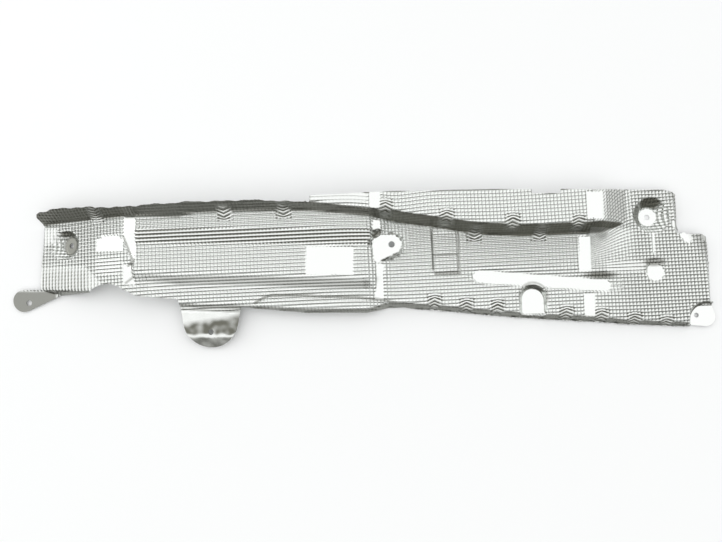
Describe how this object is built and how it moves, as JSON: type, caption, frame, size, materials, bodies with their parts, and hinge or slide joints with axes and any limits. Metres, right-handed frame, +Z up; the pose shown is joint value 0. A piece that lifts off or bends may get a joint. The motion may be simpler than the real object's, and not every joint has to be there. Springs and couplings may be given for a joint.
{
  "type": "heat shield",
  "caption": "long pressed aluminium heat shield with embossed dot texture, raised back wall and flange, turned-down front lip, sunk bolt seats, side ear and rounded front tab",
  "frame": {"origin": "centre of the underside of the bounding box, on the floor the shield lies on", "axes": "+X along the length towards the end with the flat round seat and the corner tab, +Y to the raised wall and back flange, +Z up, concave side down"},
  "size_m": [1, 0.224, 0.0618],
  "materials": {
    "embossed_aluminium": "bright, embossed"
  },
  "bodies": {
    "root": {"heat_shield": "embossed_aluminium"}
  },
  "joints": []
}
